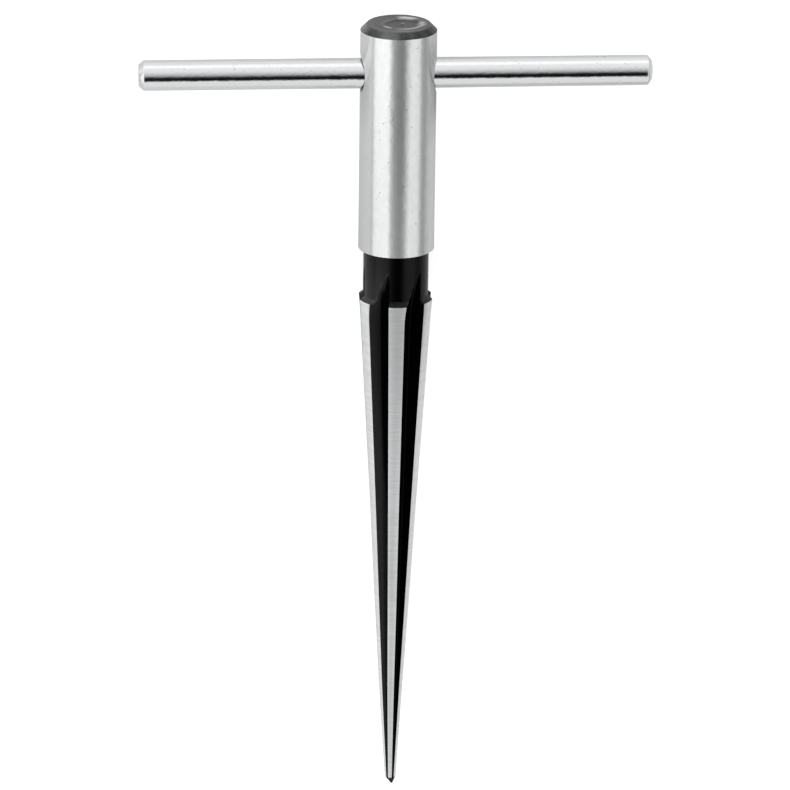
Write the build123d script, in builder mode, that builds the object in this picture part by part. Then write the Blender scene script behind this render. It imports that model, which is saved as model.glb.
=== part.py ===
from build123d import *

import os
from math import acos, cos, degrees, radians, tan

# Taper reamer with a cross bar, lying on its head. Sizes are in millimetres.
# Y runs along the tool from its point to its head, X along the bar, Z is up.

# Head
head_diameter = 13.1
head_length = 39.9
head_chamfer = 1.1

# Shallow turned recess in the head's top face, with its centre mark
dish_diameter = 6.6
dish_depth = 0.3
dish_wall = 0.35  # sloping rim, measured along the radius
dish_shift = 0.5  # the recess was turned this far off the tool's axis
mark_diameter = 0.9
mark_depth = 0.35

# Neck between the head and the teeth
neck_length = 8.3
neck_depth = 0.86  # turned this far below the thinner of the head and the teeth
neck_fillet = 0.4
shoulder_bevel = 0.7  # height of the cone that leads from the teeth up to the neck

# Ground taper
large_diameter = 13.0
small_diameter = 1.86
cutting_length = 90.9
point_angle = 60.0
point_flat = 0.4

# Flutes, milled with a single-angle cutter whose upright side leaves the cutting face
flute_count = 6
flute_angle = 66.0
flute_depth_large = 2.97
flute_depth_small = 0.22
flute_root = 0.12
flute_turn = 13.3  # puts the middle of one land straight up, square to the bar
face_lead = 0.12  # the cutting faces stand this far ahead of the axis
cutter_radius = 26.0
runout_start = 3.6  # the cutter starts to leave the flute this far below the large end

# Cross bar and its hole
bar_diameter = 5.25
bar_length = 87.7
bar_chamfer = 0.8
bar_drop = 8.73  # from the head's top face down to the bar's axis
bar_off_centre = 0.39  # the tool's axis stands this far to +X of the bar's middle
bar_fit = 0.01  # on the radius, pressed in
mouth_width = 1.2  # deburring cone at each mouth of the hole, on the radius

# Stations along the tool, measured from the large end of the teeth
head_radius = head_diameter / 2
neck_radius = min(head_diameter, large_diameter) / 2 - neck_depth
head_station = shoulder_bevel + neck_length
top_station = head_station + head_length
bar_station = top_station - bar_drop
point_length = (small_diameter - point_flat) / 2 / tan(radians(point_angle / 2))
tip_station = -cutting_length - point_length

# The tool lies on the floor at Z = 0, centred on the origin
axis_height = max(head_diameter, large_diameter) / 2
datum_y = -(top_station + tip_station) / 2
tool = Plane(origin=(bar_off_centre, datum_y, axis_height), x_dir=(0, 0, 1), z_dir=(0, 1, 0))
tool_profile = Plane(origin=tool.origin, x_dir=(0, 0, 1), z_dir=(-1, 0, 0))
tool_axis = Axis(tool.origin, tool.z_dir)

# Floor of a flute: a straight line down the taper, then the cutter's own circle
floor_large = large_diameter / 2 - flute_depth_large
floor_small = small_diameter / 2 - flute_depth_small
floor_slope = (floor_large - floor_small) / cutting_length
floor_runout = floor_large - floor_slope * runout_start
flute_overrun = point_length + 1.0
exit_clearance = 0.2
runout_rise = neck_radius + exit_clearance - floor_runout
runout_arc = degrees(acos(1 - runout_rise / cutter_radius))
flute_reach = flute_depth_large + 0.6

# One flute, in the tool's own frame: Z along the axis, X out through the cutting face
with BuildPart() as flute:
    with BuildLine(Plane.XZ.offset(face_lead)) as milling_path:
        flute_floor = Line(
            (floor_small - floor_slope * flute_overrun, -cutting_length - flute_overrun),
            (floor_runout, -runout_start),
        )
        JernArc(flute_floor @ 1, flute_floor % 1, cutter_radius, -runout_arc)
    section_plane = Plane(origin=flute_floor @ 0, x_dir=(1, 0, 0), z_dir=-(flute_floor % 0))
    with BuildSketch(section_plane) as flute_section:
        with BuildLine():
            Polyline(
                (0, 0),
                (flute_reach, 0),
                (flute_reach, flute_reach * tan(radians(flute_angle))),
                close=True,
            )
        make_face()
        fillet(flute_section.vertices().sort_by(Axis.X)[0], flute_root)
    sweep(path=milling_path.line)

# Body: head, neck and taper turned in one piece
with BuildPart(tool) as reamer_body:
    with BuildSketch(tool_profile):
        with BuildLine():
            Polyline(
                (0, tip_station),
                (point_flat / 2, tip_station),
                (small_diameter / 2, -cutting_length),
                (large_diameter / 2, 0),
                (neck_radius, shoulder_bevel),
                (neck_radius, head_station),
                (head_radius, head_station),
                (head_radius, top_station - head_chamfer),
                (head_radius - head_chamfer, top_station),
                (0, top_station),
                close=True,
            )
        make_face()
    revolve(axis=tool_axis)
    neck_ring = reamer_body.edges().filter_by(GeomType.CIRCLE).sort_by_distance(
        (bar_off_centre, datum_y + head_station, axis_height + neck_radius)
    )[0]
    fillet(neck_ring, neck_fillet)

    # Recess and centre mark in the top face
    with BuildSketch(tool_profile.move(Location((dish_shift, 0, 0)))):
        with BuildLine():
            Polyline(
                (0, top_station - dish_depth - mark_depth),
                (mark_diameter / 2, top_station - dish_depth),
                (dish_diameter / 2 - dish_wall, top_station - dish_depth),
                (dish_diameter / 2, top_station),
                (0, top_station),
                close=True,
            )
        make_face()
    dish_axis = Axis((bar_off_centre + dish_shift, datum_y, axis_height), tool.z_dir)
    revolve(axis=dish_axis, mode=Mode.SUBTRACT)

    # Cross hole, with a deburring cone at both mouths
    with Locations(
        Plane(origin=(0, head_radius, bar_station), z_dir=(0, 1, 0)),
        Plane(origin=(0, -head_radius, bar_station), z_dir=(0, -1, 0)),
    ):
        CounterSinkHole(
            radius=bar_diameter / 2 + bar_fit,
            counter_sink_radius=bar_diameter / 2 + bar_fit + mouth_width,
            depth=head_diameter,
            counter_sink_angle=90,
        )

    with PolarLocations(0, flute_count, start_angle=-flute_turn):
        add(flute.part, mode=Mode.SUBTRACT)
reamer_body.part.label = "reamer_body"

# Cross bar: a plain polished rod with chamfered ends
bar_end = Plane(
    origin=(-bar_length / 2, datum_y + bar_station, axis_height),
    z_dir=(1, 0, 0),
)
with BuildPart() as handle_bar:
    with BuildSketch(bar_end):
        Circle(bar_diameter / 2)
    extrude(amount=bar_length)
    chamfer(handle_bar.edges().filter_by(GeomType.CIRCLE), bar_chamfer)
handle_bar.part.label = "handle_bar"

os.makedirs("parts", exist_ok=True)
export_step(reamer_body.part, "parts/reamer_body.step")
export_step(handle_bar.part, "parts/handle_bar.step")
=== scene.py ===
# Taper reamer with a cross bar: its body, its bar, their finishes, the studio and the camera.

import math

import bmesh
import bpy
from mathutils import Matrix, Vector


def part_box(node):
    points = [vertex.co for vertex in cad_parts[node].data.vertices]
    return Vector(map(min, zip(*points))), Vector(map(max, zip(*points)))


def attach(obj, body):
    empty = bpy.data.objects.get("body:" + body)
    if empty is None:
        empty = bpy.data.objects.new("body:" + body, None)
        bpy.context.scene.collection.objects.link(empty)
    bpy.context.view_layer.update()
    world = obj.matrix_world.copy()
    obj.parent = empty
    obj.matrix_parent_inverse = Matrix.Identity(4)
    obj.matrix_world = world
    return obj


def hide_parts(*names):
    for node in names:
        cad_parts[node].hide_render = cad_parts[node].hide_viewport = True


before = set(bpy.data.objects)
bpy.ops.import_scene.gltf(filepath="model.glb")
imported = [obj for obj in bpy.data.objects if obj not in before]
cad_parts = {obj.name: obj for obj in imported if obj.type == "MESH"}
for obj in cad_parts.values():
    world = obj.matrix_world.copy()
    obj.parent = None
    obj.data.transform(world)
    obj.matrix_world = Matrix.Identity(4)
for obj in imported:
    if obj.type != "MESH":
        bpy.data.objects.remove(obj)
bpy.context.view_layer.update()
mm = 0.001  # sizes are written in millimetres, and meshes are in metres
bodyLow, bodyHigh = (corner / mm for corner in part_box("reamer_body"))
barLow, barHigh = (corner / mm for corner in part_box("handle_bar"))
axisX = (bodyLow.x + bodyHigh.x) / 2  # the tool's axis runs along Y through here
axisZ = (bodyLow.z + bodyHigh.z) / 2
print("frame loaded:", ", ".join(sorted(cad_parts)))


# Camera, solved from the outline of the tool in the photograph
photoCamera = {
    "framePixels": 790.0,
    "focalPixels": 5237.6,
    "sensorWidth": 36.0,
    "distance": 919.478,
    "tilt": 19.992,  # degrees from straight above, towards the head
    "swing": -4.795,  # degrees, towards the bar's left end
    "roll": 0.73,
    "shiftRight": 1.076,
    "shiftUp": 0.947,
    "clipNear": 100.0,
    "clipFar": 20000.0,
}


def addCamera(c):
    tilt, swing, roll = (math.radians(c[key]) for key in ("tilt", "swing", "roll"))
    back = Vector(
        (math.sin(swing) * math.cos(tilt), math.sin(tilt), math.cos(swing) * math.cos(tilt))
    )
    right = Vector((0, 1, 0)).cross(back).normalized()
    up = back.cross(right)
    place = back * c["distance"] + right * c["shiftRight"] + up * c["shiftUp"]
    across = right * math.cos(roll) + up * math.sin(roll)
    upright = up * math.cos(roll) - right * math.sin(roll)
    turn = Matrix((across, upright, back)).transposed().to_4x4()
    data = bpy.data.cameras.new("photoCamera")
    data.sensor_width = c["sensorWidth"]
    data.lens = c["sensorWidth"] * c["focalPixels"] / c["framePixels"]
    data.clip_start = c["clipNear"] * mm
    data.clip_end = c["clipFar"] * mm
    camera = bpy.data.objects.new("photoCamera", data)
    camera.matrix_world = Matrix.Translation(place * mm) @ turn
    bpy.context.scene.collection.objects.link(camera)
    bpy.context.scene.camera = camera


addCamera(photoCamera)
print("camera placed")


weldDistance = 0.002  # points nearer than this become one


def ringMesh(name, rings, closed, marks=(), glintAndWearTest=None):
    # Quads between neighbouring rings. Each mark is (attribute, test), and the test is given
    # the ring's and the column's number. The edge test says which points lie on an edge where the
    # oxide is bare and a painted highlight is added.
    shell = bmesh.new()
    layers = [(shell.faces.layers.bool.new(mark), test) for mark, test in marks]
    wornEdge = shell.verts.layers.float.new("wornEdge")
    grid = [[shell.verts.new(point * mm) for point in ring] for ring in rings]
    for row, points in enumerate(grid):
        for column, point in enumerate(points):
            point[wornEdge] = float(glintAndWearTest(row, column)) if glintAndWearTest else 0.0
    columns = len(rings[0]) if closed else len(rings[0]) - 1
    for row in range(len(rings) - 1):
        for column in range(columns):
            after = (column + 1) % len(rings[0])
            face = shell.faces.new(
                (grid[row][column], grid[row][after], grid[row + 1][after], grid[row + 1][column])
            )
            for layer, test in layers:
                face[layer] = test(row, column)
    bmesh.ops.remove_doubles(shell, verts=shell.verts, dist=weldDistance * mm)
    mesh = bpy.data.meshes.new(name)
    shell.to_mesh(mesh)
    shell.free()
    thing = bpy.data.objects.new(name, mesh)
    bpy.context.scene.collection.objects.link(thing)
    return thing


def spread(first, last, count):
    # Evenly spaced values, both ends included
    return [first + (last - first) * step / count for step in range(count + 1)]


def smoothShade(thing, creaseDegrees):
    thing.data.shade_smooth()
    thing.data.set_sharp_from_angle(angle=math.radians(creaseDegrees))


# Body: one turned and milled piece. Stations are measured from the large end of the teeth,
# and grow towards the head. Angles are measured from straight up towards +X.
reamer = {
    "headRadius": 6.55,
    "headLength": 39.9,
    "headChamfer": 1.1,
    "dishRadius": 3.3,
    "dishWall": 0.35,
    "dishDepth": 0.3,
    "dishShift": 0.5,
    "markRadius": 0.45,
    "markDepth": 0.35,
    "neckRadius": 5.64,
    "neckLength": 8.3,
    "neckFillet": 0.4,
    "shoulderBevel": 0.7,  # from the large end of the teeth up to the neck
    "largeRadius": 6.53,
    "smallRadius": 0.95,
    "cuttingLength": 90.7,
    "fullness": 0.1,  # the ground taper bulges this much on the radius,
    "fullMiddle": -68.0,  # most at this station,
    "fullHalf": 30.0,  # and not at all this far from it
    "pointRadius": 0.41,  # where the point's cone is blunted
    "pointDegrees": 60.0,
    "pointBlunting": 0.55,  # 1 would be a second cone, and 0 a flat
    "bendFrom": -71.6,  # from here on the thin end leans to +X, more and more
    "bend": 0.16,
    "bendPower": 1.3,
    "pointShift": 0.24,  # and the point leans this much more
    # Steps along the tool
    "pointSteps": 8,
    "taperSteps": 60,
    "runoutSteps": 12,
    "bevelSteps": 8,
    "neckSteps": 60,
    "filletSteps": 6,
    "sleeveSteps": 39,
    "topSteps": 3,
    "creaseDegrees": 18.0,
}
reamer["headStation"] = reamer["shoulderBevel"] + reamer["neckLength"]
reamer["topStation"] = reamer["headStation"] + reamer["headLength"]
reamer["datum"] = bodyHigh.y - reamer["topStation"]
reamer["taper"] = (reamer["largeRadius"] - reamer["smallRadius"]) / reamer["cuttingLength"]

# Flutes, milled with a single-angle cutter
flute = {
    "count": 6,
    "vDegrees": 66.0,
    "depthLarge": 2.99,
    "depthSmall": 0.35,
    "rootRadius": 0.12,
    "turnDegrees": -12.7,
    "faceLead": 0.24,
    "cutterRadius": 26.0,
    "runoutStart": 3.6,
    "landSteps": 20,
    "slopeSteps": 8,
    "rootSteps": 8,
    "faceSteps": 5,
    "farEnd": 9.0,  # further along the cut's outline than any land edge
    "halvings": 40,  # each halves the doubt about where a land's edge is
}


def fullAt(station, r):
    # The taper's bulge at a station, on the radius
    away = (station - r["fullMiddle"]) / r["fullHalf"]
    return r["fullness"] * max(0.0, 1 - away**2)


def makeFluteCut(r, f):
    # The cut's outline at a station, as a function of the run along it from the middle of the
    # rounded root: up the slope where the run is positive, up the cutting face where negative
    floorLarge = r["largeRadius"] - f["depthLarge"]
    floorSmall = r["smallRadius"] - f["depthSmall"]
    rise = (floorLarge - floorSmall) / r["cuttingLength"]
    lean = math.atan(rise)
    circleRadius = floorLarge - rise * f["runoutStart"] + f["cutterRadius"] * math.cos(lean)
    circleStation = -f["runoutStart"] - f["cutterRadius"] * math.sin(lean)
    half = math.radians(f["vDegrees"] / 2)
    rootHalf = f["rootRadius"] * (math.pi / 2 - half)
    tangent = f["rootRadius"] / math.tan(half)
    centre = (tangent, -f["faceLead"] - f["rootRadius"])

    def cut(run, station):
        if abs(run) <= rootHalf:
            turn = math.pi - half + run / f["rootRadius"]
            height = centre[0] + f["rootRadius"] * math.cos(turn)
            sideways = centre[1] + f["rootRadius"] * math.sin(turn)
        else:
            straight = abs(run) - rootHalf + tangent
            height = straight * (math.cos(2 * half) if run > 0 else 1)
            sideways = -f["faceLead"] - (straight * math.sin(2 * half) if run > 0 else 0)
        if station <= -f["runoutStart"]:
            floor = floorLarge + rise * station + fullAt(station, r)
            return floor + height / math.cos(lean), sideways
        reach = f["cutterRadius"] - height
        rest = math.sqrt(reach**2 - (station - circleStation) ** 2)
        return circleRadius - rest, sideways

    def nearest(station):
        # The run at which the outline comes nearest to the axis
        middle = cut(0, station)
        aside = math.atan2(centre[1], middle[0] + f["rootRadius"])
        return (aside + half) * f["rootRadius"]

    return cut, nearest, rootHalf


def makeSectorRing(r, f):
    cut, nearest, rootHalf = makeFluteCut(r, f)
    pitch = 2 * math.pi / f["count"]
    start = math.radians(f["turnDegrees"])

    def edgeRun(low, far, station, radius):
        # The run at which the outline leaves the turned surface
        for _ in range(f["halvings"]):
            middle = (low + far) / 2
            if math.hypot(*cut(middle, station)) < radius:
                low = middle
            else:
                far = middle
        return low

    def ring(station, radius):
        low = nearest(station)
        isMilled = math.hypot(*cut(low, station)) < radius
        slopeEnd = edgeRun(low, f["farEnd"], station, radius) if isMilled else low
        faceEnd = edgeRun(low, -f["farEnd"], station, radius) if isMilled else low
        slopeFoot = min(rootHalf, slopeEnd)
        faceFoot = max(-rootHalf, faceEnd)
        runs = spread(slopeEnd, slopeFoot, f["slopeSteps"])
        runs += spread(slopeFoot, faceFoot, f["rootSteps"])[1:]
        runs += spread(faceFoot, faceEnd, f["faceSteps"])[1:]
        outline = [cut(run, station) for run in runs]
        angles = [start + pitch + math.atan2(side, out) for out, side in outline]
        reaches = [min(math.hypot(*point), radius) for point in outline]
        land = spread(angles[-1] - pitch, angles[0], f["landSteps"])
        polar = [(angle, radius) for angle in land] + list(zip(angles, reaches))[1:]
        height = r["datum"] + station
        return [
            Vector((reach * math.sin(angle), height, reach * math.cos(angle)))
            for angle, reach in polar
        ]

    return ring


def stemProfile(r, f):
    # (station, radius) up the stem: blunted tip, cone, taper, bevel and neck
    slant = math.tan(math.radians(r["pointDegrees"] / 2))
    pointLength = (r["smallRadius"] - r["pointRadius"]) / slant
    coneEnd = -r["cuttingLength"] - pointLength
    tip = bodyLow.y - r["datum"]
    rows = [
        (tip + (coneEnd - tip) * share, r["pointRadius"] * share ** r["pointBlunting"])
        for share in spread(0, 1, r["pointSteps"])
    ]
    teethEnd = r["smallRadius"] + fullAt(-r["cuttingLength"], r)
    for share in spread(0, 1, r["pointSteps"])[1:]:
        radius = r["pointRadius"] + (teethEnd - r["pointRadius"]) * share
        rows.append((coneEnd + pointLength * share, radius))
    runout = -f["runoutStart"]
    stations = spread(-r["cuttingLength"], runout, r["taperSteps"])[1:]
    stations += spread(runout, 0, r["runoutSteps"])[1:]
    for station in stations:
        rows.append((station, r["largeRadius"] + r["taper"] * station + fullAt(station, r)))
    for share in spread(0, 1, r["bevelSteps"])[1:]:
        radius = r["largeRadius"] + (r["neckRadius"] - r["largeRadius"]) * share
        rows.append((r["shoulderBevel"] * share, radius))
    neckTop = r["headStation"] - r["neckFillet"]
    for station in spread(r["shoulderBevel"], neckTop, r["neckSteps"])[1:]:
        rows.append((station, r["neckRadius"]))
    return rows


def buildTooth(r, f):
    # One sixth of the stem: a land and the flute after it
    ring = makeSectorRing(r, f)
    profile = stemProfile(r, f)
    ground = [
        -r["cuttingLength"] - weldDistance < low and high < weldDistance
        for (low, _), (high, _) in zip(profile, profile[1:])
    ]
    rings = [ring(station, radius) for station, radius in profile]
    bevelTop = profile.index((r["shoulderBevel"], r["neckRadius"]))

    def isLand(row, column):
        return ground[row] and column < f["landSteps"]

    def isGlintAndWearEdge(row, column):
        # Edges where the oxide is bare and a painted highlight is added: the bevel's upper edge,
        # and the sloping side of each flute above the teeth
        if profile[row][0] < 0 or column > f["landSteps"]:
            return False
        milled = (rings[row][f["landSteps"]] - rings[row][-1]).length > weldDistance
        return row == bevelTop or (column == f["landSteps"] and milled)

    top = rings[-1][0]
    tooth = ringMesh("tooth", rings, False, [("landFace", isLand)], isGlintAndWearEdge)
    return tooth, math.atan2(top.x, top.z)


def circleRing(centreX, height, radius, firstAngle, count):
    return [
        Vector((centreX + radius * math.sin(angle), height, axisZ + radius * math.cos(angle)))
        for angle in spread(firstAngle, firstAngle + 2 * math.pi, count)[:-1]
    ]


def buildHead(r, f, firstAngle):
    # (station, radius, sideways shift): fillet, underside, sleeve, chamfer, top face and recess
    fillet = r["neckFillet"]
    rows = [
        (
            r["headStation"] - fillet * (1 - math.sin(turn)),
            r["neckRadius"] + fillet * (1 - math.cos(turn)),
            0.0,
        )
        for turn in spread(0, math.pi / 2, r["filletSteps"])
    ]
    rows.append((r["headStation"], r["headRadius"], 0.0))
    sleeveFirst = len(rows) - 1
    sleeveTop = r["topStation"] - r["headChamfer"]
    for station in spread(r["headStation"], sleeveTop, r["sleeveSteps"])[1:]:
        rows.append((station, r["headRadius"], 0.0))
    sleeveLast = len(rows) - 1
    topRadius = r["headRadius"] - r["headChamfer"]
    rows.append((r["topStation"], topRadius, 0.0))
    for share in spread(0, 1, r["topSteps"])[1:]:
        reach = topRadius + (r["dishRadius"] - topRadius) * share
        rows.append((r["topStation"], reach, r["dishShift"] * share))
    floorStation = r["topStation"] - r["dishDepth"]
    rows.append((floorStation, r["dishRadius"] - r["dishWall"], r["dishShift"]))
    rows.append((floorStation, r["markRadius"], r["dishShift"]))
    rows.append((floorStation - r["markDepth"], 0.0, r["dishShift"]))
    count = f["count"] * f["landSteps"]
    rings = [
        circleRing(axisX + shift, r["datum"] + station, radius, firstAngle, count)
        for station, radius, shift in rows
    ]

    def isSleeve(row, column):
        return sleeveFirst <= row < sleeveLast

    def isEnd(row, column):
        return row >= sleeveLast

    return ringMesh("reamerBody", rings, True, [("sleeveFace", isSleeve), ("endFace", isEnd)])


def leanEnd(thing, r):
    # Leans the thin end and the cone of the point towards +X
    leans = (
        (r["bendFrom"], r["bend"], r["bendPower"]),
        (-r["cuttingLength"], r["pointShift"], 1.0),
    )
    for station, shift, power in leans:
        start = station + r["datum"]
        for vertex in thing.data.vertices:
            share = (start - vertex.co.y / mm) / (start - bodyLow.y)
            if share > 0:
                vertex.co.x += shift * share**power * mm


# Cross bar, and the hole it is pressed into
bar = {
    "radius": 2.625,
    "leftChamfer": (0.85, 0.72),  # along the bar, and on the radius
    "rightChamfer": (0.72, 0.88),
    "leftEdge": 0.07,  # rounding of the chamfer's corners
    "rightEdge": 0.3,
    "straightStart": 0.25,  # an extra ring here keeps the barrel's shading straight
    "cornerSteps": 3,
    "roundSteps": 96,
    "fit": 0.01,  # left between bar and hole, on the radius
    "mouthWidth": 0.8,  # of the deburring cone, on the radius
    "creaseDegrees": 30.0,
}
bar["axisY"] = (barLow.y + barHigh.y) / 2
bar["axisZ"] = (barLow.z + barHigh.z) / 2


def barRing(b, x, radius):
    return [
        Vector((x, b["axisY"] + radius * math.cos(turn), b["axisZ"] + radius * math.sin(turn)))
        for turn in spread(0, 2 * math.pi, b["roundSteps"])[:-1]
    ]


def buildHoleCutter(r, b):
    # The hole with its deburring cone at both mouths, run out past the head
    beyond = 1.0
    mouth = b["radius"] + b["fit"] + b["mouthWidth"]
    cone = r["headRadius"] - b["mouthWidth"]
    outer = r["headRadius"] + beyond
    half = [(outer, 0.0), (outer, mouth + beyond), (cone, b["radius"] + b["fit"])]
    rows = [(-x, radius) for x, radius in half] + half[::-1]
    rings = [barRing(b, axisX + x, radius) for x, radius in rows]

    def isCone(row, column):
        return row in (1, 3)  # the bands next to the two flat ends

    return ringMesh("holeCutter", rings, True, [("mouthFace", isCone)])


def addNode(tree, kind, inputs=None, **settings):
    node = tree.nodes.new(kind)
    for name, value in settings.items():
        setattr(node, name, value)
    for name, value in (inputs or {}).items():
        if isinstance(value, bpy.types.NodeSocket):
            tree.links.new(value, node.inputs[name])
        else:
            node.inputs[name].default_value = value
    return node


def buildRingTree():
    # Teeth set round the axis, welded to the head, bored, and given their finishes
    tree = bpy.data.node_groups.new("toothRing", "GeometryNodeTree")
    sockets = {
        "Head": "NodeSocketGeometry",
        "Tooth": "NodeSocketObject",
        "Teeth": "NodeSocketInt",
        "Axis": "NodeSocketVector",
        "Weld": "NodeSocketFloat",
        "Hole Cutter": "NodeSocketObject",
        "Oxide": "NodeSocketMaterial",
        "Land Steel": "NodeSocketMaterial",
        "Sleeve Steel": "NodeSocketMaterial",
        "Mouth Steel": "NodeSocketMaterial",
        "End Oxide": "NodeSocketMaterial",
    }
    for name, kind in sockets.items():
        tree.interface.new_socket(name, in_out="INPUT", socket_type=kind)
    tree.interface.new_socket("Body", in_out="OUTPUT", socket_type="NodeSocketGeometry")
    given = addNode(tree, "NodeGroupInput").outputs
    tooth = addNode(tree, "GeometryNodeObjectInfo", {"Object": given["Tooth"]})
    points = addNode(
        tree, "GeometryNodePoints", {"Count": given["Teeth"], "Position": given["Axis"]}
    )
    number = addNode(tree, "GeometryNodeInputIndex").outputs["Index"]
    pitch = addNode(
        tree, "ShaderNodeMath", {0: 2 * math.pi, 1: given["Teeth"]}, operation="DIVIDE"
    )
    turn = addNode(
        tree, "ShaderNodeMath", {0: number, 1: pitch.outputs[0]}, operation="MULTIPLY"
    )
    rotation = addNode(tree, "ShaderNodeCombineXYZ", {"Y": turn.outputs[0]})
    placed = addNode(
        tree,
        "GeometryNodeInstanceOnPoints",
        {
            "Points": points.outputs["Points"],
            "Instance": tooth.outputs["Geometry"],
            "Rotation": rotation.outputs["Vector"],
        },
    )
    joined = addNode(tree, "GeometryNodeJoinGeometry")
    tree.links.new(given["Head"], joined.inputs["Geometry"])
    tree.links.new(placed.outputs["Instances"], joined.inputs["Geometry"])
    real = addNode(
        tree, "GeometryNodeRealizeInstances", {"Geometry": joined.outputs["Geometry"]}
    )
    welded = addNode(
        tree,
        "GeometryNodeMergeByDistance",
        {"Geometry": real.outputs["Geometry"], "Distance": given["Weld"]},
    )
    cutter = addNode(tree, "GeometryNodeObjectInfo", {"Object": given["Hole Cutter"]})
    bored = addNode(
        tree,
        "GeometryNodeMeshBoolean",
        {"Mesh 1": welded.outputs["Geometry"], "Mesh 2": cutter.outputs["Geometry"]},
        operation="DIFFERENCE",
        solver="EXACT",
    )
    shape = addNode(
        tree,
        "GeometryNodeSetMaterial",
        {"Geometry": bored.outputs["Mesh"], "Material": given["Oxide"]},
    ).outputs["Geometry"]
    finishes = {
        "landFace": "Land Steel",
        "sleeveFace": "Sleeve Steel",
        "mouthFace": "Mouth Steel",
        "endFace": "End Oxide",
    }
    for mark, finish in finishes.items():
        marked = addNode(
            tree, "GeometryNodeInputNamedAttribute", {"Name": mark}, data_type="BOOLEAN"
        )
        shape = addNode(
            tree,
            "GeometryNodeSetMaterial",
            {
                "Geometry": shape,
                "Selection": marked.outputs["Attribute"],
                "Material": given[finish],
            },
        ).outputs["Geometry"]
    addNode(tree, "NodeGroupOutput", {"Body": shape})
    return tree


def runTree(thing, tree, values):
    # Puts the tree on the object, sets its inputs and keeps the result as a plain mesh
    modifier = thing.modifiers.new(tree.name, "NODES")
    modifier.node_group = tree
    for item in tree.interface.items_tree:
        if item.in_out == "INPUT" and item.name in values:
            modifier[item.identifier] = values[item.name]
    graph = bpy.context.evaluated_depsgraph_get()
    mesh = bpy.data.meshes.new_from_object(thing.evaluated_get(graph), depsgraph=graph)
    thing.modifiers.clear()
    thing.data = mesh
    mesh.name = thing.name


def maths(tree, operation, first, second=0.0):
    return addNode(tree, "ShaderNodeMath", {0: first, 1: second}, operation=operation).outputs[0]


def ramped(tree, value, fromLow, fromHigh, toLow=0.0, toHigh=1.0):
    node = addNode(
        tree,
        "ShaderNodeMapRange",
        {
            "Value": value,
            "From Min": fromLow,
            "From Max": fromHigh,
            "To Min": toLow,
            "To Max": toHigh,
        },
        interpolation_type="SMOOTHSTEP",
    )
    return node.outputs["Result"]


def toneRamp(tree, value, stops):
    # A tone for each value, from a list of (value, tone)
    low, high = stops[0][0], stops[-1][0]
    peak = max(tone for _, tone in stops)
    scaled = addNode(
        tree, "ShaderNodeMapRange", {"Value": value, "From Min": low, "From Max": high}
    )
    node = addNode(tree, "ShaderNodeValToRGB", {"Fac": scaled.outputs["Result"]})
    elements = node.color_ramp.elements
    while len(elements) < len(stops):
        elements.new(1.0)
    for element, (at, tone) in zip(elements, stops):
        element.position = (at - low) / (high - low)
        share = tone / peak
        element.color = (share, share, share, 1)
    return maths(tree, "MULTIPLY", node.outputs["Color"], peak)


def crossTone(tree, first, firstStops, second, secondStops):
    # A tone that depends on two values
    return maths(
        tree,
        "MULTIPLY",
        toneRamp(tree, first, firstStops),
        toneRamp(tree, second, secondStops),
    )


def startGroup(name, inputs, output):
    # A shader node group with named inputs and one value to put out
    tree = bpy.data.node_groups.new(name, "ShaderNodeTree")
    for label, value in inputs.items():
        kind = "NodeSocketVector" if isinstance(value, tuple) else "NodeSocketFloat"
        socket = tree.interface.new_socket(label, in_out="INPUT", socket_type=kind)
        socket.default_value = value
    tree.interface.new_socket(output, in_out="OUTPUT", socket_type="NodeSocketFloat")
    return tree, addNode(tree, "NodeGroupInput").outputs


def useGroup(tree, group, inputs):
    return addNode(tree, "ShaderNodeGroup", inputs, node_tree=group).outputs[0]


def buildGrainGroup():
    # Noise drawn out by a different amount along each axis: grinding lines, streaks and stains
    inputs = {"Per Metre": (900, 900, 900), "Detail": 2.0, "Contrast": 1.0}
    tree, given = startGroup("steelGrain", inputs, "Grain")
    place = addNode(tree, "ShaderNodeTexCoord").outputs["Object"]
    drawn = addNode(
        tree, "ShaderNodeVectorMath", {0: place, 1: given["Per Metre"]}, operation="MULTIPLY"
    )
    noise = addNode(
        tree,
        "ShaderNodeTexNoise",
        {"Vector": drawn.outputs["Vector"], "Scale": 1.0, "Detail": given["Detail"]},
    )
    centred = maths(tree, "SUBTRACT", noise.outputs["Fac"], 0.5)
    contrasted = maths(tree, "MULTIPLY", centred, given["Contrast"])
    addNode(tree, "NodeGroupOutput", {"Grain": contrasted})
    return tree


grainGroup = buildGrainGroup()


def grain(tree, perMetre, contrast=1.0, detail=2.0):
    inputs = {"Per Metre": perMetre, "Detail": detail, "Contrast": contrast}
    return useGroup(tree, grainGroup, inputs)


pitGrain = (0.17, 0.25)  # a pit starts at the first value of the grain, and is whole at the next


def buildPitGroup():
    # Sparse dark specks, as a tone to multiply by
    tree, given = startGroup("steelPits", {"Per Metre": (2000, 2000, 2000), "Depth": 0.3}, "Tone")
    specks = ramped(tree, grain(tree, given["Per Metre"]), *pitGrain, 0.0, given["Depth"])
    addNode(tree, "NodeGroupOutput", {"Tone": maths(tree, "SUBTRACT", 1.0, specks)})
    return tree


pitGroup = buildPitGroup()


def pitted(tree, tone, s):
    pits = useGroup(tree, pitGroup, {"Per Metre": s["pits"], "Depth": s["pitDepth"]})
    return maths(tree, "MULTIPLY", tone, pits)


def newFinish(name, s, metallic):
    material = bpy.data.materials.new(name)
    material.use_nodes = True
    shader = material.node_tree.nodes["Principled BSDF"]
    shader.inputs["Metallic"].default_value = metallic
    shader.inputs["Roughness"].default_value = s["roughness"]
    return material, material.node_tree, shader


def tint(tree, tone, colour):
    # The colour, made darker or lighter by a tone about 1
    node = addNode(tree, "ShaderNodeVectorMath", {0: colour, 1: tone}, operation="MULTIPLY")
    return node.outputs["Vector"]


def lighten(tree, colour, added):
    node = addNode(tree, "ShaderNodeVectorMath", {0: colour, 1: added}, operation="ADD")
    return node.outputs["Vector"]


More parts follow.
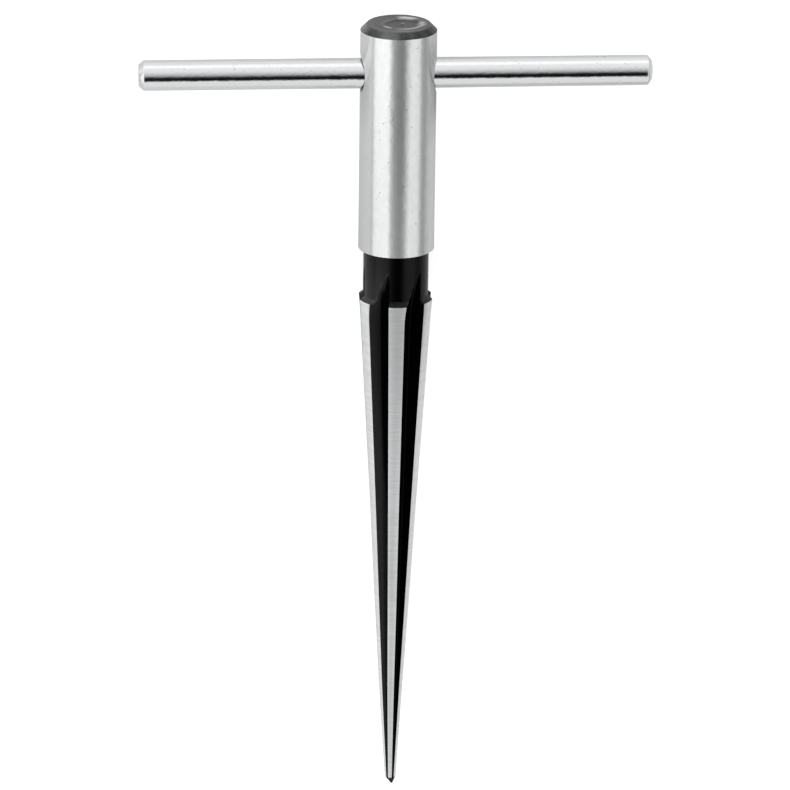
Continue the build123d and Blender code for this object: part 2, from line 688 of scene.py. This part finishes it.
def bump(tree, height, depth, under=None):
    inputs = {"Height": height, "Distance": depth * mm}
    if under is not None:
        inputs["Normal"] = under
    return addNode(tree, "ShaderNodeBump", inputs).outputs["Normal"]


def objectPlace(tree):
    place = addNode(tree, "ShaderNodeTexCoord").outputs["Object"]
    return addNode(tree, "ShaderNodeSeparateXYZ", {"Vector": place}).outputs


def distanceFrom(tree, centre):
    # Distance from a line along the axis whose coordinate is None
    place = objectPlace(tree)
    squares = [
        maths(tree, "POWER", maths(tree, "SUBTRACT", place[axis], at * mm), 2.0)
        for axis, at in zip("XYZ", centre)
        if at is not None
    ]
    return maths(tree, "SQRT", maths(tree, "ADD", *squares))


def buildRoundGroup():
    # Degrees round the tool's axis, from straight up towards +X
    inputs = {"Axis X": axisX * mm, "Axis Z": axisZ * mm}
    tree, given = startGroup("roundTool", inputs, "Degrees")
    place = objectPlace(tree)
    outwards = maths(tree, "SUBTRACT", place["X"], given["Axis X"])
    upwards = maths(tree, "SUBTRACT", place["Z"], given["Axis Z"])
    degrees = maths(tree, "DEGREES", maths(tree, "ARCTAN2", outwards, upwards))
    addNode(tree, "NodeGroupOutput", {"Degrees": degrees})
    return tree


roundGroup = buildRoundGroup()


def placedMark(tree, s, name):
    # A mark given by its direction round the tool and its place along it
    direction = useGroup(tree, roundGroup, {})
    height = maths(tree, "DIVIDE", objectPlace(tree)["Y"], mm)
    return crossTone(tree, direction, s[name + "Round"], height, s[name + "Along"])


def alongTool(tree):
    # The tool's own direction as a tangent, for gloss that spreads along it
    direction = addNode(tree, "ShaderNodeCombineXYZ", {"Y": 1.0})
    node = addNode(
        tree,
        "ShaderNodeVectorTransform",
        {"Vector": direction.outputs["Vector"]},
        vector_type="VECTOR",
        convert_from="OBJECT",
        convert_to="WORLD",
    )
    return node.outputs["Vector"]


sleeveSteel = {
    "colour": (0.735, 0.745, 0.745),
    "roughness": 0.27,
    "drawnOut": 0.9,  # grinding marks run round the head, so gloss spreads along it
    "lines": (400, 9000, 400),
    "lineDepth": 0.003,
    "stains": (1200, 700, 1200),
    "stainTone": 0.13,
    "lowTone": 0.98,  # a little brighter towards the top
    "highTone": 1.1,
    "lowAt": 35.0,
    "highAt": 75.0,
    "sideTone": 0.12,  # the +X side is this much brighter low down
    "sideTurn": 2.0,  # and duller at the top, where this is more than 1
    "dents": (700, 600, 700),
    "dentDepth": 0.03,
    "pits": (2200, 1600, 2200),
    "pitDepth": 0.35,
    # Marks by direction round the tool, in degrees from straight up towards +X, and by place
    # along it: a painted highlight streak up the lower half, and painted shade beside the bar at
    # +X and at -X
    "streakRound": [(-180, 0), (-22, 0), (-10, 0.8), (4, 1), (18, 0), (180, 0)],
    "streakAlong": [(0, 0.33), (32, 0.33), (44, 0.15), (56, 0), (80, 0)],
    "rightShadeRound": [(-180, 0), (40, 0), (56, 1), (100, 1), (140, 0), (180, 0)],
    "rightShadeAlong": [(0, 0), (49, 0), (57, 0.3), (66, 0.3), (69, 0.12), (80, 0.12)],
    "shadeRound": [(-180, 0), (-85, 0), (-75, 1), (-56, 1), (-43, 0), (180, 0)],
    "shadeAlong": [(0, 0), (51, 0), (57, 0.09), (61, 0.15), (63.5, 0.2), (66.5, 0), (80, 0)],
    # Painted shade in the corner where the bar leaves the +X side
    "cornerRound": [(-180, 0), (62, 0), (72, 1), (92, 1), (110, 0), (180, 0)],
    "cornerAlong": [(0, 0), (54, 0), (57, 0.3), (61.5, 0.45), (63.5, 0.2), (65.5, 0), (80, 0)],
}


def makeSleeveSteel(s, r):
    material, tree, shader = newFinish("groundSleeve", s, 1.0)
    lines = grain(tree, s["lines"])
    place = objectPlace(tree)
    rising = ramped(tree, place["Y"], s["lowAt"] * mm, s["highAt"] * mm)
    gain = s["highTone"] - s["lowTone"]
    tone = maths(tree, "ADD", maths(tree, "MULTIPLY", rising, gain), s["lowTone"])
    low, high = (radius * mm + axisX * mm for radius in (0, r["headRadius"]))
    side = addNode(
        tree,
        "ShaderNodeMapRange",
        {"Value": place["X"], "From Min": low, "From Max": high, "To Max": s["sideTone"]},
    ).outputs["Result"]
    turning = maths(tree, "SUBTRACT", 1.0, maths(tree, "MULTIPLY", rising, s["sideTurn"]))
    tone = maths(tree, "ADD", tone, maths(tree, "MULTIPLY", side, turning))
    tone = maths(tree, "ADD", tone, grain(tree, s["stains"], s["stainTone"]))
    tone = pitted(tree, tone, s)
    # A painted highlight streak, then painted shade beside the bar and in its corner
    marks = {"streak": "ADD", "rightShade": "SUBTRACT", "shade": "SUBTRACT", "corner": "SUBTRACT"}
    for name, change in marks.items():
        mark = placedMark(tree, s, name)
        tone = maths(tree, "MULTIPLY", tone, maths(tree, change, 1.0, mark))
    tree.links.new(tint(tree, tone, s["colour"]), shader.inputs["Base Color"])
    dented = bump(tree, grain(tree, s["dents"]), s["dentDepth"])
    tree.links.new(bump(tree, lines, s["lineDepth"], dented), shader.inputs["Normal"])
    shader.inputs["Anisotropic"].default_value = s["drawnOut"]
    tree.links.new(alongTool(tree), shader.inputs["Tangent"])
    return material


landSteel = {
    "colour": (0.84, 0.855, 0.86),
    "roughness": 0.5,
    "lines": (250, 2600, 250),
    "lineTone": 0.35,
    "lineDepth": 0.012,
    "cardShade": 0.27,  # painted shade on the upper land towards its wide end, for the dark card's reflection
    "cardShadeFrom": -18.0,
    "cardShadeTo": 22.0,
    "upperFrom": 3.6,  # height above the tool's axis
    "upperTo": 4.6,
    # The lands on the +X side are brighter
    "sideRound": [(-180, 0), (34, 0), (42, 1), (78, 1), (95, 0), (180, 0)],
    "sideAlong": [(-75, 0.06), (-40, 0.12), (-20, 0.13), (0, 0.17), (9, 0.09), (22, 0.04)],
    # The upper land is duller along its -X edge, low down
    "edgeRound": [(-180, 0), (-32, 0), (-24, 1), (-9, 1), (3, 0), (180, 0)],
    "edgeAlong": [(-68, 0.15), (-52, 0.19), (-40, 0.08), (-28, 0.19), (-20, 0.13), (6, 0)],
}


def makeLandSteel(s):
    material, tree, shader = newFinish("groundLands", s, 1.0)
    lines = grain(tree, s["lines"])
    marked = maths(tree, "ADD", maths(tree, "MULTIPLY", lines, s["lineTone"]), 1.0)
    place = objectPlace(tree)
    # Painted shade on the upper land, towards its wide end
    wide = ramped(tree, place["Y"], s["cardShadeFrom"] * mm, s["cardShadeTo"] * mm, 0.0, s["cardShade"])
    low, high = ((axisZ + s[key]) * mm for key in ("upperFrom", "upperTo"))
    upper = ramped(tree, place["Z"], low, high)
    darkened = maths(tree, "SUBTRACT", 1.0, maths(tree, "MULTIPLY", wide, upper))
    darkened = maths(tree, "SUBTRACT", darkened, placedMark(tree, s, "edge"))
    brighter = maths(tree, "ADD", placedMark(tree, s, "side"), 1.0)
    tone = maths(tree, "MULTIPLY", maths(tree, "MULTIPLY", marked, darkened), brighter)
    tree.links.new(tint(tree, tone, s["colour"]), shader.inputs["Base Color"])
    tree.links.new(bump(tree, lines, s["lineDepth"]), shader.inputs["Normal"])
    return material


mouthSteel = {
    "colour": (0.70, 0.71, 0.71),
    "roughness": 0.3,
    "rings": (1500, 1500, 1500),
    "ringTone": 0.1,
    "cornerShadeFrom": 0.4,  # painted shade in the corner round the bar
    "cornerShadeTo": 0.8,
    "cornerShadeTone": 0.07,
}


def makeMouthSteel(s, b):
    material, tree, shader = newFinish("deburredMouths", s, 1.0)
    marked = maths(tree, "ADD", grain(tree, s["rings"], s["ringTone"]), 1.0)
    # Painted shade on the cone, darkest next to the bar
    fromBar = distanceFrom(tree, (None, b["axisY"], b["axisZ"]))
    start, end = ((b["radius"] + s[key]) * mm for key in ("cornerShadeFrom", "cornerShadeTo"))
    unshaded = ramped(tree, fromBar, start, end, s["cornerShadeTone"], 1.0)
    tone = maths(tree, "MULTIPLY", marked, unshaded)
    tree.links.new(tint(tree, tone, s["colour"]), shader.inputs["Base Color"])
    return material


blackOxide = {
    "colour": (0.0005, 0.0005, 0.0006),
    "ior": 1.25,
    "roughness": 0.17,
    "cloud": (900, 900, 900),
    "cloudDetail": 4.0,
    "cloudTone": 0.8,
    "cloudDepth": 0.002,
    "wearAndPaintedLight": 0.035,  # added to the colour along edges, in patches: bare metal and a painted highlight
    "edgePatches": (500, 900, 500),
    "patchGrain": (-0.12, 0.1),
    # Painted sheen on the -X side, lighter up a flute's slope than deep in it. It fills a flute
    # near the point, but lies on the upper part of its slope near the shoulder: from one share of
    # the lands' radius up to another.
    "sheenRound": [(-180, 1), (-31, 1), (-27, 0.75), (-23, 0.3), (-19, 0.08), (-15, 0), (180, 0)],
    "sheenAlong": [
        (-75, 0.018),
        (-12, 0.017),
        (8, 0.012),
        (21.5, 0.0085),
        (22.6, 0.03),
        (24.5, 0.029),
        (26.5, 0.025),
        (29, 0.019),
        (40, 0.018),
    ],
    "narrowAt": -30.0,
    "wideAt": 15.0,
    "sheenBottoms": (0.55, 0.72),  # at narrowAt and at wideAt
    "sheenTops": (0.6, 0.95),
    # The shoulder's own painted sheen, which stays out of the flutes
    "bevelRound": [
        (-180, 0.04),
        (-60, 0.035),
        (-36, 0.025),
        (-28, 0),
        (12, 0),
        (24, 0.02),
        (180, 0.02),
    ],
    "bevelAlong": [(0, 0), (21.5, 0), (21.7, 1), (22.3, 1), (22.5, 0), (80, 0)],
    "bevelStart": 0.15,  # fades in over this much outside the neck
}


def makeBlackOxide(s, r):
    material, tree, shader = newFinish("blackOxide", s, 0.0)
    shader.inputs["IOR"].default_value = s["ior"]
    cloud = grain(tree, s["cloud"], detail=s["cloudDetail"])
    tone = maths(tree, "ADD", maths(tree, "MULTIPLY", cloud, s["cloudTone"]), 1.0)
    # Bare edges in patches, with a painted highlight along them
    edge = addNode(tree, "ShaderNodeAttribute", attribute_name="wornEdge").outputs["Fac"]
    patches = ramped(tree, grain(tree, s["edgePatches"]), *s["patchGrain"])
    wearAndPaintedLight = maths(tree, "MULTIPLY", maths(tree, "MULTIPLY", edge, patches), s["wearAndPaintedLight"])
    # Painted sheen on the -X side, up the flutes' slopes and on the shoulder
    along = objectPlace(tree)["Y"]
    start = (r["largeRadius"] - r["taper"] * r["datum"]) * mm
    landRadius = maths(tree, "ADD", maths(tree, "MULTIPLY", along, r["taper"]), start)
    fromAxis = distanceFrom(tree, (axisX, None, axisZ))
    share = maths(tree, "DIVIDE", fromAxis, landRadius)
    narrow, wide = (s[key] * mm for key in ("narrowAt", "wideAt"))
    bottom, top = (
        ramped(tree, along, narrow, wide, *s[key]) for key in ("sheenBottoms", "sheenTops")
    )
    upper = ramped(tree, share, bottom, top)
    sheen = maths(tree, "MULTIPLY", placedMark(tree, s, "sheen"), upper)
    start, end = ((r["neckRadius"] + further) * mm for further in (0, s["bevelStart"]))
    outside = ramped(tree, fromAxis, start, end)
    onBevel = maths(tree, "MULTIPLY", placedMark(tree, s, "bevel"), outside)
    sheen = maths(tree, "ADD", sheen, onBevel)
    wearAndPaintedLight = maths(tree, "ADD", wearAndPaintedLight, maths(tree, "MULTIPLY", sheen, tone))
    colour = lighten(tree, tint(tree, tone, s["colour"]), wearAndPaintedLight)
    tree.links.new(colour, shader.inputs["Base Color"])
    tree.links.new(bump(tree, cloud, s["cloudDepth"]), shader.inputs["Normal"])
    return material


endOxide = {
    "colour": (0.118, 0.12, 0.119),
    "roughness": 0.38,
    "rings": 5000.0,  # turning marks, per metre of radius
    "ringTone": 0.5,
    "ringDepth": 0.004,
    "stains": (500, 200, 500),
    "stainTone": 0.9,
    # Round the chamfer, in degrees from straight up towards +X: bare where it rests, with
    # a painted reflection on the lighter parts, and darker where the oxide is unbroken
    "roundTones": [
        (-180, 0.8),
        (-96, 2.4),
        (-80, 2.0),
        (-68, 1.1),
        (-58, 0.66),
        (-36, 0.6),
        (-24, 0.95),
        (-10, 0.9),
        (0, 0.35),
        (8, 0.32),
        (17, 0.6),
        (30, 0.48),
        (52, 0.4),
        (76, 0.6),
        (110, 0.9),
        (180, 0.8),
    ],
    # Painted shade in two dark patches, and painted highlights and reflections round the recess,
    # measured
    # from the middle of the recess: distance, width, direction, half spread, and what is added to
    # the colour
    "paintedLightPatches": [
        (4.5, 0.95, -58, 52, -0.04),
        (4.5, 0.95, 56, 52, -0.04),
        (0.95, 0.8, 143, 16, 0.22),
        (3.4, 0.65, -43, 21, 0.5),
        (3.5, 0.6, 29, 46, 0.4),
        (3.4, 1.1, 84, 28, 0.42),
        (3.75, 0.85, 154, 32, 0.75),
        (5.0, 0.5, 15, 40, 0.07),
        (3.12, 0.4, -125, 60, 0.1),
    ],
    "floorTone": 0.8,  # the recess's floor is darker
    "edgeStart": -0.12,  # the top face's edge, where the chamfer's tones start, from the sharp edge, on the radius
    "edgeEnd": 0.35,
}


def makeEndOxide(s, r):
    material, tree, shader = newFinish("wornOxide", s, 1.0)
    fromAxis = distanceFrom(tree, (axisX, None, axisZ))
    fromDish = distanceFrom(tree, (axisX + r["dishShift"], None, axisZ))
    direction = useGroup(tree, roundGroup, {})
    turned = addNode(
        tree,
        "ShaderNodeTexNoise",
        {"W": maths(tree, "MULTIPLY", fromAxis, s["rings"]), "Scale": 1.0},
        noise_dimensions="1D",
    ).outputs["Fac"]
    marks = maths(tree, "MULTIPLY", maths(tree, "SUBTRACT", turned, 0.5), s["ringTone"])
    stained = maths(tree, "ADD", marks, grain(tree, s["stains"], s["stainTone"]))
    faceEdge = r["headRadius"] - r["headChamfer"]
    start, end = ((faceEdge + s[key]) * mm for key in ("edgeStart", "edgeEnd"))
    onChamfer = ramped(tree, fromAxis, start, end)
    # Tone by direction round the chamfer: oxide bared in places, with a painted reflection on the
    # lighter parts
    byDirection = maths(tree, "SUBTRACT", toneRamp(tree, direction, s["roundTones"]), 1.0)
    tone = maths(tree, "ADD", maths(tree, "MULTIPLY", byDirection, onChamfer), 1.0)
    tone = maths(tree, "ADD", tone, stained)
    floorEdge = (r["dishRadius"] - r["dishWall"]) * mm
    inRecess = ramped(tree, fromDish, floorEdge, r["dishRadius"] * mm, s["floorTone"], 1.0)
    tone = maths(tree, "MULTIPLY", tone, inRecess)
    # Painted highlights and reflections round the recess, and two patches of painted shade
    wearAndPaintedLight = 0.0
    for reach, width, middle, halfSpread, added in s["paintedLightPatches"]:
        off = maths(tree, "ABSOLUTE", maths(tree, "SUBTRACT", fromDish, reach * mm))
        near = ramped(tree, off, 0.0, width * mm, added, 0.0)
        turn = maths(tree, "RADIANS", maths(tree, "SUBTRACT", direction, middle))
        facing = ramped(tree, maths(tree, "COSINE", turn), math.cos(math.radians(halfSpread)), 1.0)
        wearAndPaintedLight = maths(tree, "ADD", maths(tree, "MULTIPLY", near, facing), wearAndPaintedLight)
    colour = lighten(tree, tint(tree, tone, s["colour"]), wearAndPaintedLight)
    tree.links.new(colour, shader.inputs["Base Color"])
    tree.links.new(bump(tree, turned, s["ringDepth"]), shader.inputs["Normal"])
    return material


barSteel = {
    "colour": (0.75, 0.765, 0.77),
    "roughness": 0.085,
    "streaks": (500, 5000, 5000),
    "streakTone": 0.06,
    "streakDepth": 0.0012,
    "dents": (1100, 1400, 1400),
    "dentDepth": 0.023,
    "pits": (1500, 2200, 2200),
    "pitDepth": 0.3,
}


def makeBarSteel(s):
    material, tree, shader = newFinish("polishedBar", s, 1.0)
    streaks = grain(tree, s["streaks"])
    tone = maths(tree, "ADD", maths(tree, "MULTIPLY", streaks, s["streakTone"]), 1.0)
    tone = pitted(tree, tone, s)
    tree.links.new(tint(tree, tone, s["colour"]), shader.inputs["Base Color"])
    dented = bump(tree, grain(tree, s["dents"]), s["dentDepth"])
    tree.links.new(bump(tree, streaks, s["streakDepth"], dented), shader.inputs["Normal"])
    return material


bodyFinishes = {
    "Oxide": makeBlackOxide(blackOxide, reamer),
    "Land Steel": makeLandSteel(landSteel),
    "Sleeve Steel": makeSleeveSteel(sleeveSteel, reamer),
    "Mouth Steel": makeMouthSteel(mouthSteel, bar),
    "End Oxide": makeEndOxide(endOxide, reamer),
}
print("body's finishes made:", ", ".join(bodyFinishes))

tooth, firstAngle = buildTooth(reamer, flute)
body = buildHead(reamer, flute, firstAngle)
cutter = buildHoleCutter(reamer, bar)
runTree(
    body,
    buildRingTree(),
    {
        "Tooth": tooth,
        "Teeth": flute["count"],
        "Axis": Vector((axisX, 0, axisZ)) * mm,
        "Weld": weldDistance * mm,
        "Hole Cutter": cutter,
        **bodyFinishes,
    },
)
for helper in (tooth, cutter):
    bpy.data.objects.remove(helper)
leanEnd(body, reamer)
smoothShade(body, reamer["creaseDegrees"])
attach(body, "root")
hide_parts("reamer_body")
print("body made:", len(body.data.polygons), "faces")


def buildBar(b):
    def chamferRows(length, depth, rounding):
        # From the end face to the full diameter, each corner rounded by a short arc
        outer = b["radius"]
        corners = [(0.0, outer - depth - rounding), (0.0, outer - depth), (length, outer)]
        corners.append((length + rounding, outer))
        rows = [(0.0, 0.0), corners[0]]
        for before, corner, after in zip(corners, corners[1:], corners[2:]):
            back = min(rounding, math.dist(before, corner) / 2)
            ahead = min(rounding, math.dist(corner, after) / 2)
            start = Vector(corner).lerp(Vector(before), back / math.dist(before, corner))
            end = Vector(corner).lerp(Vector(after), ahead / math.dist(corner, after))
            for share in spread(0, 1, b["cornerSteps"]):
                first = start.lerp(Vector(corner), share)
                rows.append(tuple(first.lerp(Vector(corner).lerp(end, share), share)))
        rows.append((corners[-1][0] + b["straightStart"], outer))
        return rows

    left = chamferRows(*b["leftChamfer"], b["leftEdge"])
    right = chamferRows(*b["rightChamfer"], b["rightEdge"])
    rows = [(barLow.x + x, radius) for x, radius in left]
    rows += [(barHigh.x - x, radius) for x, radius in reversed(right)]
    rings = [barRing(b, x, radius) for x, radius in rows]
    thing = ringMesh("handleBar", rings, True)
    thing.data.materials.append(makeBarSteel(barSteel))
    return thing


crossBar = buildBar(bar)
smoothShade(crossBar, bar["creaseDegrees"])
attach(crossBar, "root")
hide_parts("handle_bar")
print("bar made:", len(crossBar.data.polygons), "faces")


# Studio: a pale floor under a bright tent with one dark card overhead. Directions are given
# in degrees: across from straight up towards +X, and along from straight up towards +Y.
studio = {
    "endwaysShare": 0.1,  # keeps the directions across from closing up at the tool's ends
    "acrossTones": [
        (-90, 0.66),
        (-81, 0.69),
        (-77.5, 1.18),
        (-67, 1.23),
        (-32, 1.25),
        (-21, 1.0),
        (21, 0.97),
        (43, 1.0),
        (59.5, 0.98),
        (64.5, 0.83),
        (69.5, 0.56),
        (74, 0.44),
        (82, 0.4),
        (90, 0.38),
    ],
    "alongTones": [
        (-90, 0.82),
        (-70, 0.93),
        (-40, 0.96),
        (0, 1.0),
        (50, 1.02),
        (65, 1.1),
        (75, 1.33),
        (86, 1.36),
        (90, 1.3),
    ],
    "cardAcross": [
        (-90, 0.0),
        (-35.5, 0.0),
        (-30, 0.12),
        (-23.5, 0.58),
        (-15, 0.84),
        (-4, 0.97),
        (2, 1.0),
        (10.5, 1.0),
        (16, 0.9),
        (23.5, 0.5),
        (31, 0.14),
        (36.5, 0.0),
        (90, 0.0),
    ],
    "cardAlong": [
        (-180, 0.0),
        (-38.5, 0.0),
        (-29.5, 0.8),
        (-24.5, 1.0),
        (-5.5, 0.98),
        (4, 0.74),
        (11, 0.5),
        (19, 0.35),
        (27, 0.2),
        (42, 0.0),
        (180, 0.0),
    ],
}


def buildStudio(s):
    world = bpy.data.worlds.new("softTent")
    bpy.context.scene.world = world
    world.use_nodes = True
    tree = world.node_tree
    tree.nodes.clear()
    direction = addNode(tree, "ShaderNodeTexCoord").outputs["Generated"]
    way = addNode(tree, "ShaderNodeSeparateXYZ", {"Vector": direction}).outputs
    endways = maths(tree, "MULTIPLY", maths(tree, "POWER", way["Y"], 2.0), s["endwaysShare"])
    upright = maths(tree, "ADD", maths(tree, "POWER", way["Z"], 2.0), endways)
    across = maths(tree, "ARCTAN2", way["X"], maths(tree, "SQRT", upright))
    across = maths(tree, "DEGREES", across)
    along = maths(tree, "DEGREES", maths(tree, "ARCTAN2", way["Y"], way["Z"]))
    tent = crossTone(tree, across, s["acrossTones"], along, s["alongTones"])
    card = crossTone(tree, across, s["cardAcross"], along, s["cardAlong"])
    tone = maths(tree, "MULTIPLY", tent, maths(tree, "SUBTRACT", 1.0, card))
    lit = addNode(tree, "ShaderNodeBackground", {"Strength": tone})
    white = addNode(tree, "ShaderNodeBackground")
    for shader in (lit, white):
        shader.inputs["Color"].default_value = (1, 1, 1, 1)
    seen = addNode(tree, "ShaderNodeLightPath").outputs["Is Camera Ray"]
    mixed = addNode(tree, "ShaderNodeMixShader", {0: seen, 1: lit.outputs[0], 2: white.outputs[0]})
    addNode(tree, "ShaderNodeOutputWorld", {"Surface": mixed.outputs[0]})


floorPaper = {
    "half": 4000.0,
    "colour": 0.82,
    "cameraLift": 0.62,  # keeps the paper white to the camera
    "glossLift": 0.08,
    "backLift": 0.19,  # added in reflections where the paper rises behind the head
    "backStart": 66.0,
    "backEnd": 80.0,
    "farLift": 0.16,  # and more where it goes on rising
    "farStart": 95.0,
    "farEnd": 160.0,
    "sideDark": 0.42,  # taken away in reflections, where the paper lies far to the right
    "sideStart": 8.0,
    "sideEnd": 100.0,
    "sideLow": 42.0,  # it fades out between these places along Y, short of the bar
    "sideHigh": 50.0,
}


def buildFloor(s):
    mesh = bpy.data.meshes.new("floor")
    half = s["half"] * mm
    corners = [(-half, -half, 0), (half, -half, 0), (half, half, 0), (-half, half, 0)]
    mesh.from_pydata(corners, [], [(0, 1, 2, 3)])
    floor = bpy.data.objects.new("floor", mesh)
    bpy.context.scene.collection.objects.link(floor)
    material = bpy.data.materials.new("floorPaper")
    material.use_nodes = True
    tree = material.node_tree
    shader = tree.nodes["Principled BSDF"]
    shader.inputs["Roughness"].default_value = 1.0
    shader.inputs["Specular IOR Level"].default_value = 0.0
    path = addNode(tree, "ShaderNodeLightPath").outputs
    forCamera = maths(tree, "MULTIPLY", path["Is Camera Ray"], s["cameraLift"])
    place = objectPlace(tree)
    behind = ramped(
        tree,
        place["Y"],
        s["backStart"] * mm,
        s["backEnd"] * mm,
        s["glossLift"],
        s["glossLift"] + s["backLift"],
    )
    far = ramped(tree, place["Y"], s["farStart"] * mm, s["farEnd"] * mm, 0.0, s["farLift"])
    behind = maths(tree, "ADD", behind, far)
    forGloss = maths(tree, "MULTIPLY", path["Is Glossy Ray"], behind)
    lift = maths(tree, "ADD", forCamera, forGloss)
    right = addNode(
        tree,
        "ShaderNodeMapRange",
        {
            "Value": maths(tree, "SQRT", maths(tree, "MAXIMUM", place["X"], 0.0)),
            "From Min": math.sqrt(s["sideStart"] * mm),
            "From Max": math.sqrt(s["sideEnd"] * mm),
            "To Max": s["sideDark"],
        },
    ).outputs["Result"]
    front = ramped(tree, place["Y"], s["sideLow"] * mm, s["sideHigh"] * mm, 1.0, 0.0)
    side = maths(tree, "MULTIPLY", maths(tree, "MULTIPLY", right, front), path["Is Glossy Ray"])
    paper = (s["colour"],) * 3
    tone = maths(tree, "SUBTRACT", 1.0, side)
    tree.links.new(tint(tree, tone, paper), shader.inputs["Base Color"])
    shader.inputs["Emission Color"].default_value = (1, 1, 1, 1)
    tree.links.new(lift, shader.inputs["Emission Strength"])
    mesh.materials.append(material)


buildStudio(studio)
buildFloor(floorPaper)
bpy.context.scene.view_settings.view_transform = "Standard"
print("studio built")
